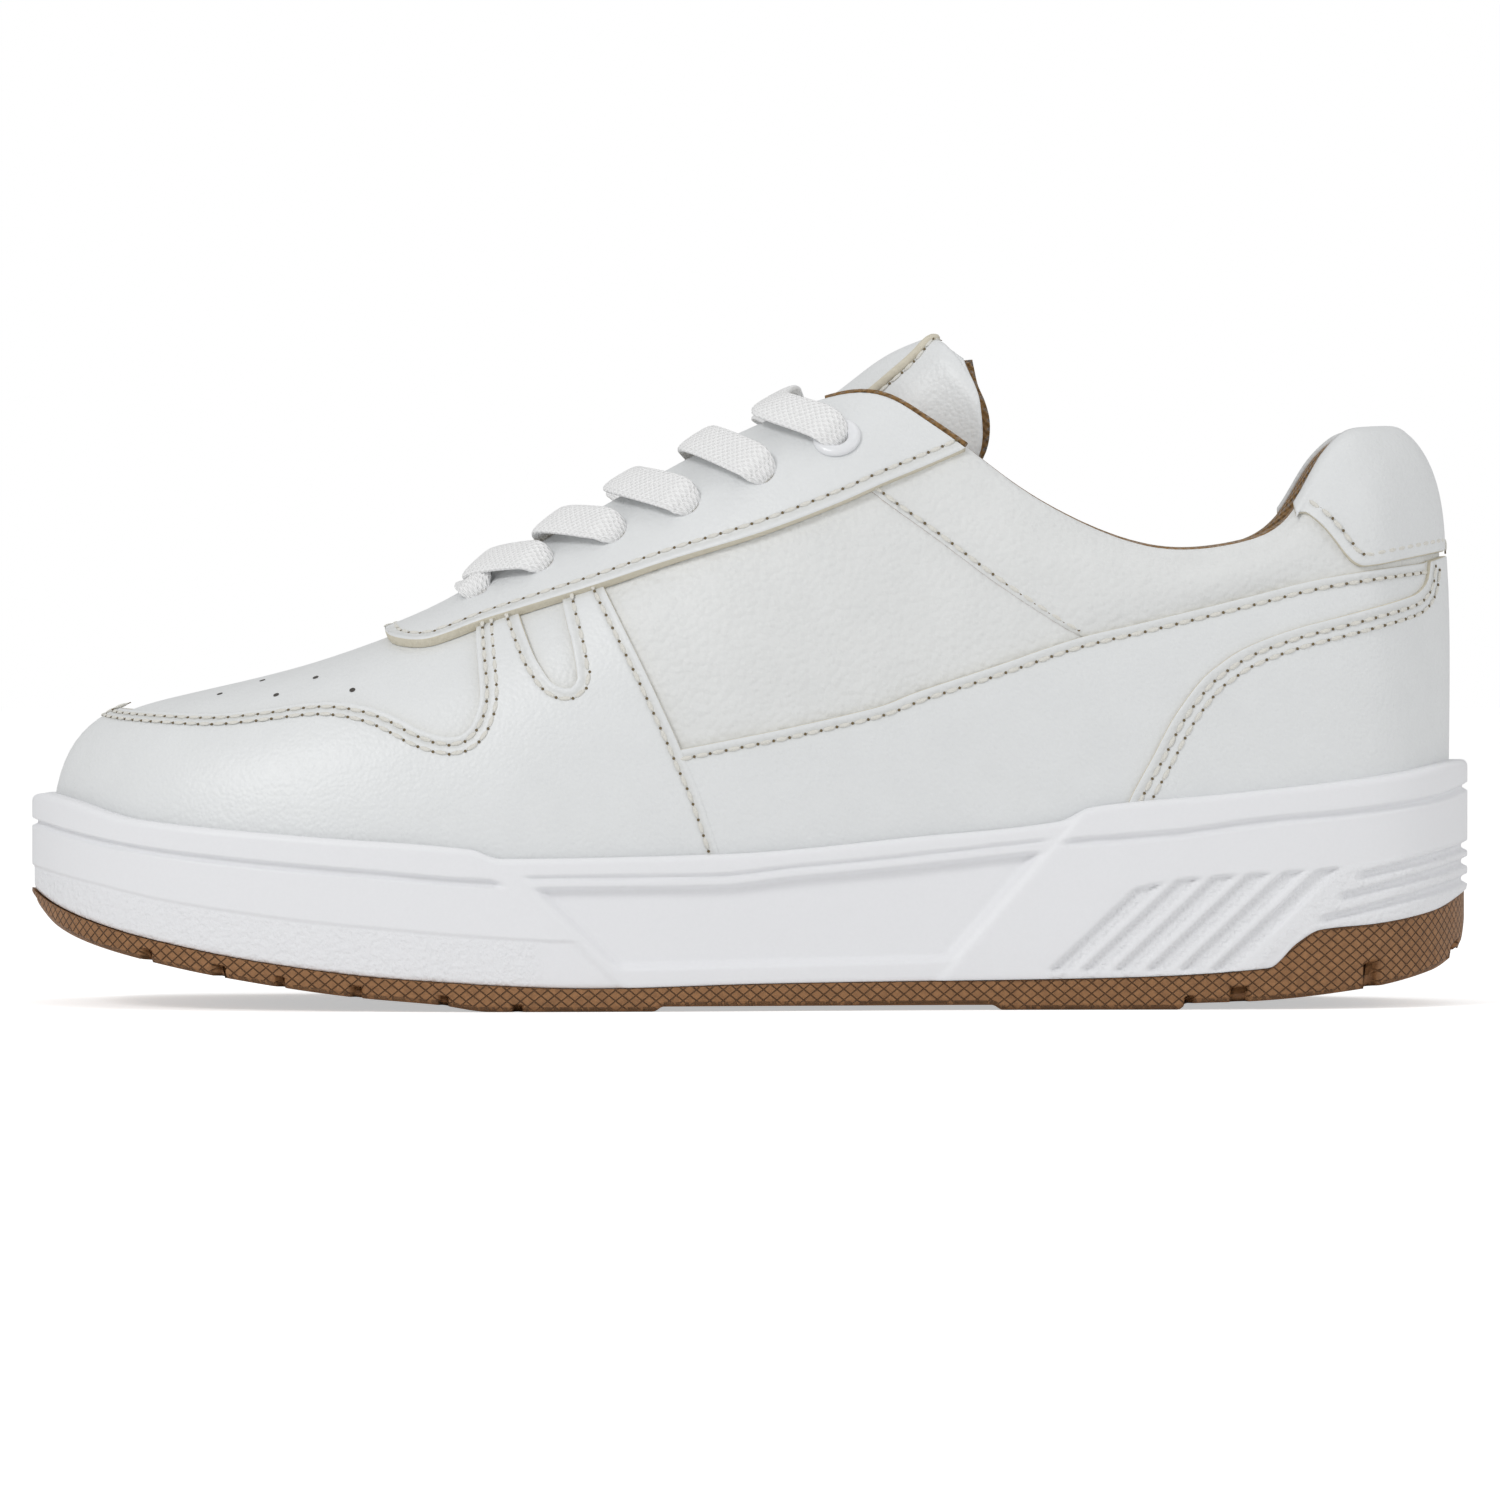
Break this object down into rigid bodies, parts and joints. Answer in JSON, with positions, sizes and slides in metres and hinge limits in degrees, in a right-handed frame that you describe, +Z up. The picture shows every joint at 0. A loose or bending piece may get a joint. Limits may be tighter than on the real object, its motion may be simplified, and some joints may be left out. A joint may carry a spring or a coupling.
{
  "type": "court shoe",
  "caption": "Left low-top court shoe with stitched leather-look upper, flat laces, padded tongue and collar, and a cupsole with a gum rubber outsole.",
  "frame": {"origin": "on the floor, at the middle of the shoe's length and width", "axes": "+X from toe to heel, +Y towards the inner side of the foot, +Z up"},
  "size_m": [0.3, 0.108, 0.138],
  "materials": {
    "white_leather": "satin",
    "grained_leather": "satin",
    "gum_rubber": "matte",
    "white_sole": "satin",
    "tan_textile": "matte",
    "foam": "matte",
    "board": "matte",
    "stiffener": "matte",
    "woven_lace": "matte",
    "painted_ring": "gloss",
    "clear_tip": "gloss"
  },
  "bodies": {
    "shoe": {"outsole": "gum_rubber", "midsole_cup": "white_sole", "midsole_core": "foam", "strobel_board": "board", "vamp": "white_leather", "toe_guard": "white_leather", "eyestay": "white_leather", "heel_overlay": "white_leather", "heel_tab": "white_leather", "vamp_lining": "tan_textile", "heel_lining": "tan_textile", "toe_puff": "stiffener", "heel_counter": "stiffener", "collar_foam": "foam", "quarter_lateral": "grained_leather", "side_overlay_lateral": "white_leather", "quarter_lining_lateral": "tan_textile", "eyestay_backing_lateral": "stiffener", "eyelet_ring_lateral": "painted_ring", "quarter_medial": "grained_leather", "side_overlay_medial": "white_leather", "quarter_lining_medial": "tan_textile", "eyestay_backing_medial": "stiffener", "eyelet_ring_medial": "painted_ring", "lace": "woven_lace", "aglet_medial": "clear_tip", "aglet_lateral": "clear_tip"},
    "tongue": {"tongue_face": "white_leather", "tongue_foam": "foam", "tongue_lining": "tan_textile"},
    "footbed": {"sockliner": "tan_textile"}
  },
  "joints": [
    {"name": "tongue_hinge", "type": "hinge", "parent": "shoe", "child": "tongue", "pos_m": [-0.07, 0, 0.071], "axis": [0, 1, 0], "range_deg": [0, 8]},
    {"name": "sockliner_lift", "type": "hinge", "parent": "shoe", "child": "footbed", "pos_m": [-0.138, 0, 0.03], "axis": [0, -1, 0], "range_deg": [0, 4]}
  ]
}
